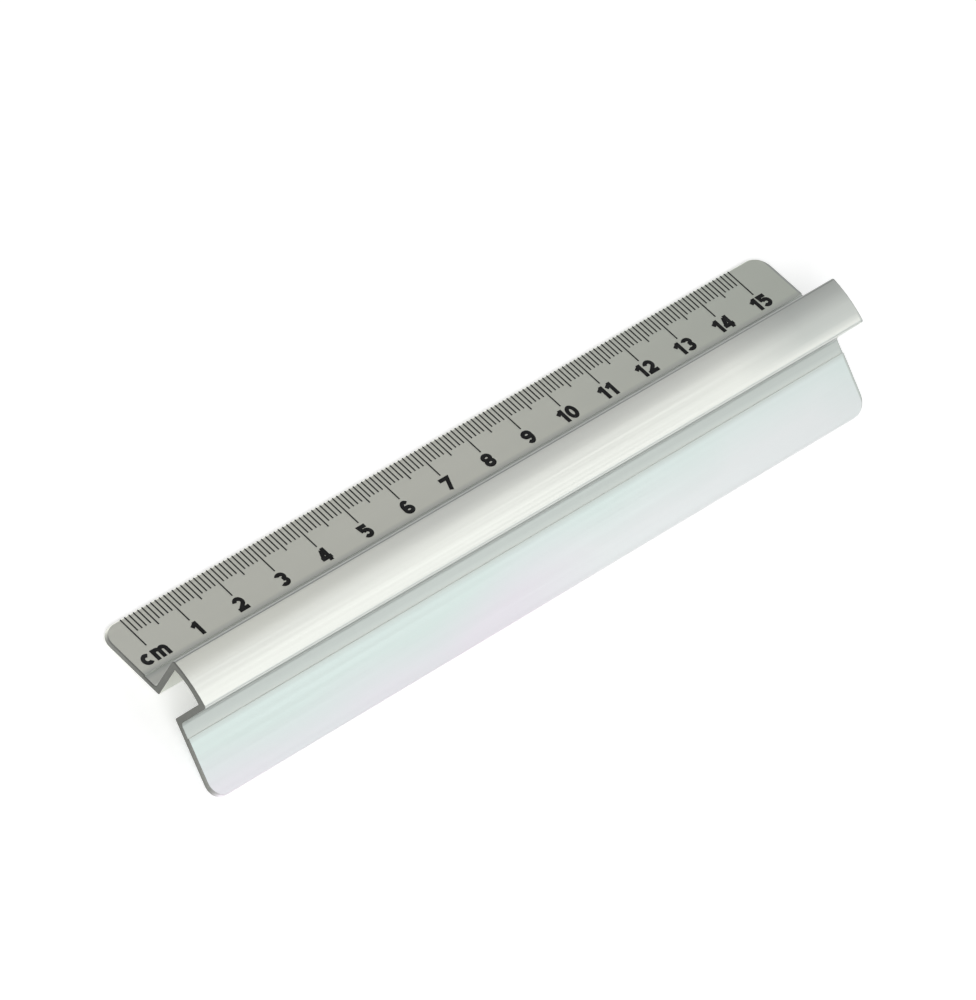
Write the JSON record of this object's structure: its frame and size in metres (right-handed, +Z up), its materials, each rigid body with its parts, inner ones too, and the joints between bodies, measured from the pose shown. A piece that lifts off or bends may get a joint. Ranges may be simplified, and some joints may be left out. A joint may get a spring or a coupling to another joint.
{
  "type": "ruler with handle",
  "caption": "Short metal ruler with a roof-like section and a hollow raised rail along its middle, pinched between two fingers to hold it down while a line is drawn.",
  "frame": {"origin": "On the table, under the middle of the ruler's length and width.", "axes": "+X along the ruler towards its high numbers, +Y towards the edge that carries the scale, +Z up."},
  "size_m": [0.163, 0.035, 0.0156],
  "materials": {
    "anodised_aluminium": "satin, clear anodised, drawn grain along the length",
    "black_print": "matt black printed ink"
  },
  "bodies": {
    "root": {"ruler_body": "anodised_aluminium", "scale_print": "black_print"}
  },
  "joints": []
}
